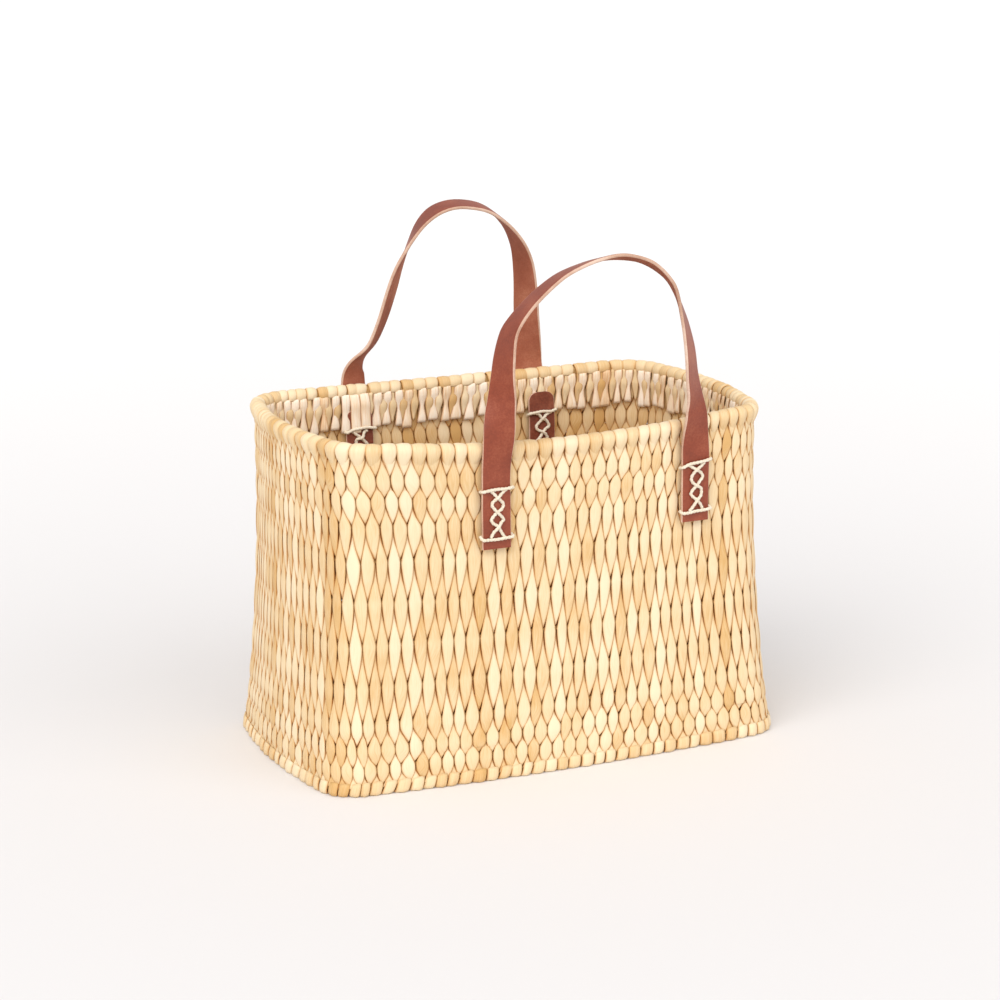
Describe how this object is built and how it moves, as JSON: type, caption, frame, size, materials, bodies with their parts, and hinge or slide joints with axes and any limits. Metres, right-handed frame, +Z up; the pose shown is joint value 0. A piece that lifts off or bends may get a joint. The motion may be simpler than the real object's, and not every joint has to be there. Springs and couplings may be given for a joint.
{
  "type": "woven market basket",
  "caption": "Rectangular palm-leaf market basket with a wrapped rim and two sewn leather strap handles that drop outside or fold over the mouth.",
  "frame": {"origin": "middle of the base's under face, on the floor the basket stands on", "axes": "+X along the front wall towards its right end, +Y towards the back wall, +Z up"},
  "size_m": [0.3752, 0.2266, 0.3825],
  "materials": {
    "palm_leaf": "dried palm-leaf strand, satin, golden straw",
    "palm_leaf_inside": "dried palm-leaf strand, matt, pith side and cut ends",
    "palm_cord": "twisted palm-fibre cord, matt",
    "bridle_leather": "vegetable-tanned leather, smooth grain, raw cut edges",
    "patch_leather": "vegetable-tanned leather scrap, worn grain",
    "waxed_thread": "waxed cotton thread, cream"
  },
  "bodies": {
    "basket": {"back_left_inner_patch": "patch_leather", "back_left_stitching": "waxed_thread", "back_left_strap_tab": "bridle_leather", "back_right_inner_patch": "patch_leather", "back_right_stitching": "waxed_thread", "back_right_strap_tab": "bridle_leather", "base_edge_cord": "palm_cord", "base_edge_wrapping": "palm_leaf", "base_rib_cord_1": "palm_cord", "base_rib_cord_2": "palm_cord", "base_rib_cord_3": "palm_cord", "base_rib_cord_4": "palm_cord", "base_rib_cord_5": "palm_cord", "base_rib_cord_6": "palm_cord", "base_rib_cord_7": "palm_cord", "base_strands_under_runs": "palm_leaf", "base_strands_upper_runs": "palm_leaf", "front_left_inner_patch": "patch_leather", "front_left_stitching": "waxed_thread", "front_left_strap_tab": "bridle_leather", "front_right_inner_patch": "patch_leather", "front_right_stitching": "waxed_thread", "front_right_strap_tab": "bridle_leather", "rim_cord": "palm_cord", "rim_wrapping": "palm_leaf", "turned_down_strand_ends": "palm_leaf_inside", "wall_rib_cord_01": "palm_cord", "wall_rib_cord_02": "palm_cord", "wall_rib_cord_03": "palm_cord", "wall_rib_cord_04": "palm_cord", "wall_rib_cord_05": "palm_cord", "wall_rib_cord_06": "palm_cord", "wall_rib_cord_07": "palm_cord", "wall_rib_cord_08": "palm_cord", "wall_rib_cord_09": "palm_cord", "wall_rib_cord_10": "palm_cord", "wall_strands_inner_runs": "palm_leaf_inside", "wall_strands_outer_runs": "palm_leaf"},
    "front_strap_risers": {"front_left_strap_riser": "bridle_leather", "front_right_strap_riser": "bridle_leather"},
    "front_handle": {"front_handle_loop": "bridle_leather"},
    "back_strap_risers": {"back_left_strap_riser": "bridle_leather", "back_right_strap_riser": "bridle_leather"},
    "back_handle": {"back_handle_loop": "bridle_leather"}
  },
  "joints": [
    {"name": "front_strap_peel", "type": "hinge", "parent": "basket", "child": "front_strap_risers", "pos_m": [0.025, -0.1, 0.21728], "axis": [1, 0, 0], "range_deg": [0, 165]},
    {"name": "front_handle_fold", "type": "hinge", "parent": "front_strap_risers", "child": "front_handle", "pos_m": [0.025, -0.0949, 0.25234], "axis": [-1, 0, 0], "range_deg": [0, 50]},
    {"name": "back_strap_peel", "type": "hinge", "parent": "basket", "child": "back_strap_risers", "pos_m": [-0.003, 0.11, 0.2205], "axis": [-1, 0, 0], "range_deg": [0, 165]},
    {"name": "back_handle_fold", "type": "hinge", "parent": "back_strap_risers", "child": "back_handle", "pos_m": [-0.003, 0.1069, 0.256], "axis": [1, 0, 0], "range_deg": [0, 50]}
  ]
}
